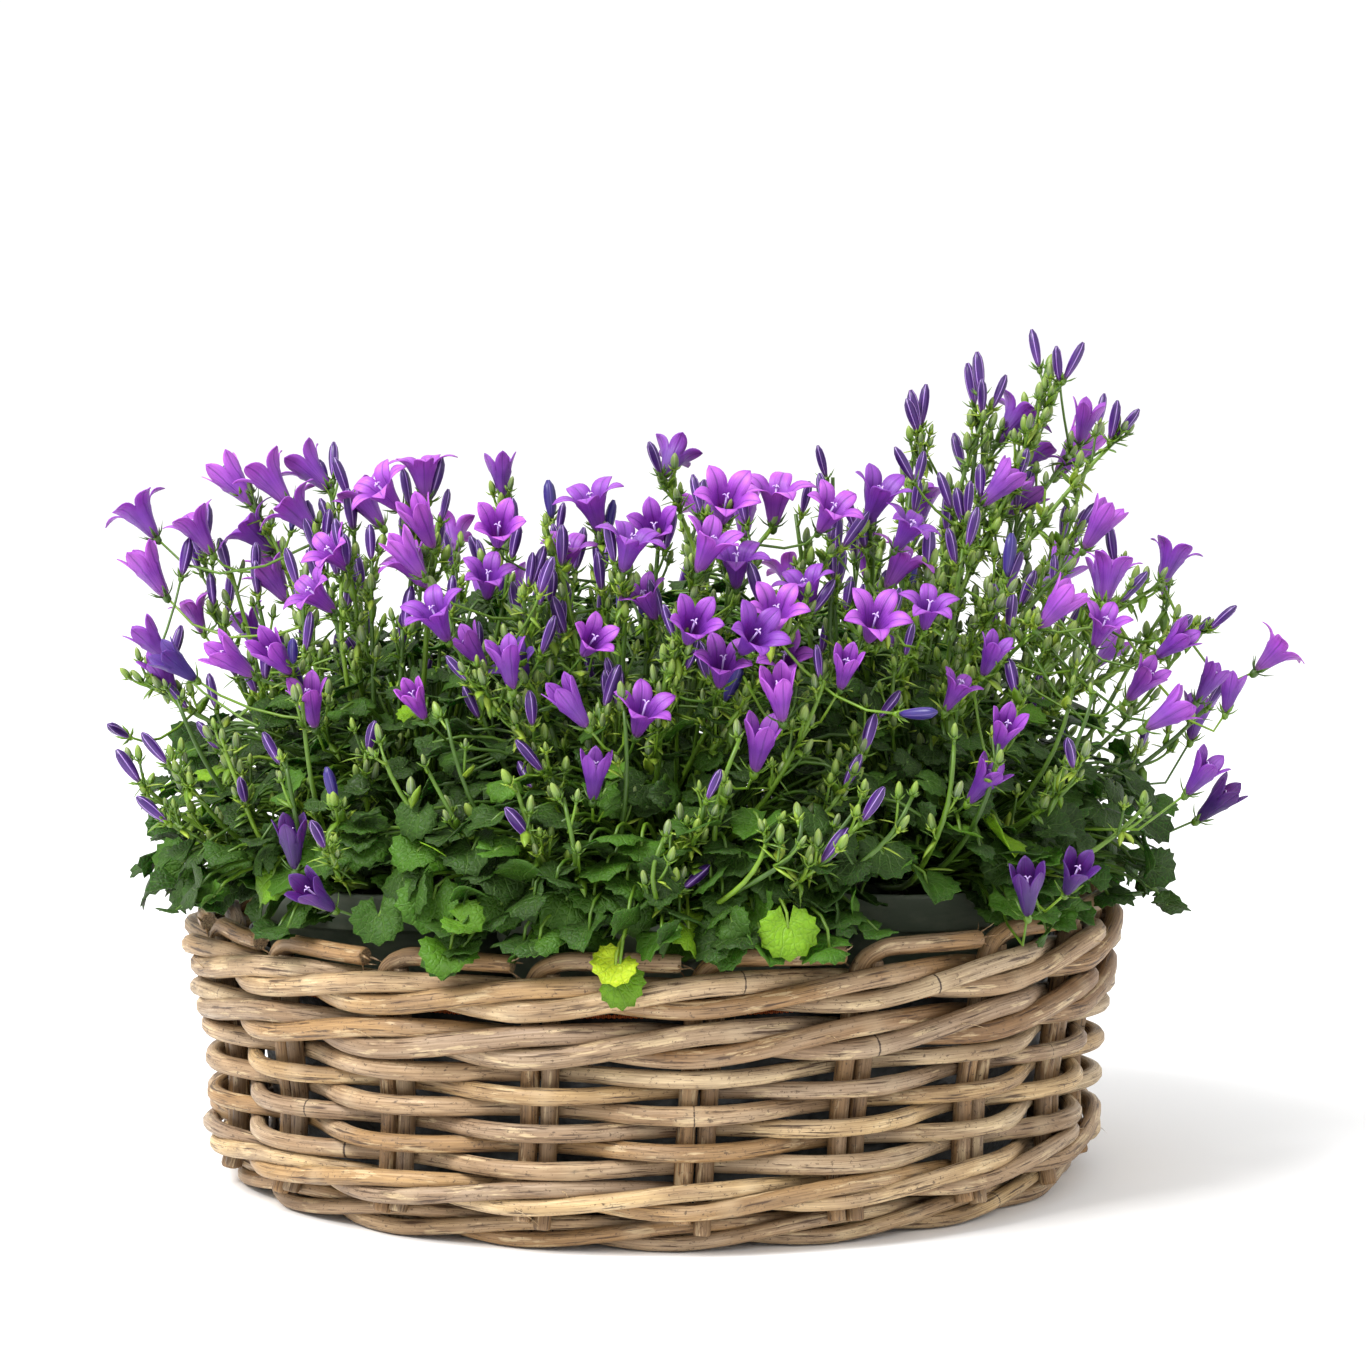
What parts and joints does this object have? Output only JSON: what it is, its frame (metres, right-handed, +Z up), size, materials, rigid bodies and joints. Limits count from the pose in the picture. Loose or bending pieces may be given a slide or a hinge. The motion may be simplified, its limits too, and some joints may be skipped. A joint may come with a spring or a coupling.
{
  "type": "potted dalmatian bellflower",
  "caption": "Flowering dalmatian bellflowers in small plastic nursery pots, set side by side in a low round basket of woven rattan with a plastic liner.",
  "frame": {"origin": "the middle of the basket base, at the surface that it stands on", "axes": "+Z up along the axis of the basket, the side seen in the picture looks towards -Y, +X to the right of it"},
  "size_m": [0.4933, 0.4216, 0.3303],
  "materials": {
    "rattan_weaver": "matte",
    "rattan_stake": "matte",
    "liner_film": "satin",
    "pot_plastic": "satin",
    "soil": "matte",
    "leaf": "satin",
    "petal": "matte"
  },
  "bodies": {
    "root": {"foot_wale_strand_1": "rattan_weaver", "foot_wale_strand_2": "rattan_weaver", "foot_wale_strand_3": "rattan_weaver", "bottom_wale_strand_1": "rattan_weaver", "bottom_wale_strand_2": "rattan_weaver", "bottom_wale_strand_3": "rattan_weaver", "lower_top_wale_strand_1": "rattan_weaver", "lower_top_wale_strand_2": "rattan_weaver", "lower_top_wale_strand_3": "rattan_weaver", "upper_top_wale_strand_1": "rattan_weaver", "upper_top_wale_strand_2": "rattan_weaver", "upper_top_wale_strand_3": "rattan_weaver", "side_row_1": "rattan_weaver", "side_row_2": "rattan_weaver", "side_row_3": "rattan_weaver", "side_row_4": "rattan_weaver", "side_row_5": "rattan_weaver", "side_row_6": "rattan_weaver", "stake_pair_01": "rattan_stake", "stake_pair_02": "rattan_stake", "stake_pair_03": "rattan_stake", "stake_pair_04": "rattan_stake", "stake_pair_05": "rattan_stake", "stake_pair_06": "rattan_stake", "stake_pair_07": "rattan_stake", "stake_pair_08": "rattan_stake", "stake_pair_09": "rattan_stake", "stake_pair_10": "rattan_stake", "stake_pair_11": "rattan_stake", "stake_pair_12": "rattan_stake", "stake_pair_13": "rattan_stake", "stake_pair_14": "rattan_stake", "stake_pair_15": "rattan_stake", "stake_pair_16": "rattan_stake", "stake_pair_17": "rattan_stake", "stake_pair_18": "rattan_stake", "basket_base": "rattan_weaver", "plastic_liner": "liner_film", "pot_front": "pot_plastic", "soil_front": "soil", "foliage_front": "leaf", "flowers_front": "petal", "pot_right": "pot_plastic", "soil_right": "soil", "foliage_right": "leaf", "flowers_right": "petal", "pot_back_right": "pot_plastic", "soil_back_right": "soil", "foliage_back_right": "leaf", "flowers_back_right": "petal", "pot_back_left": "pot_plastic", "soil_back_left": "soil", "foliage_back_left": "leaf", "flowers_back_left": "petal", "pot_left": "pot_plastic", "soil_left": "soil", "foliage_left": "leaf", "flowers_left": "petal"}
  },
  "joints": []
}
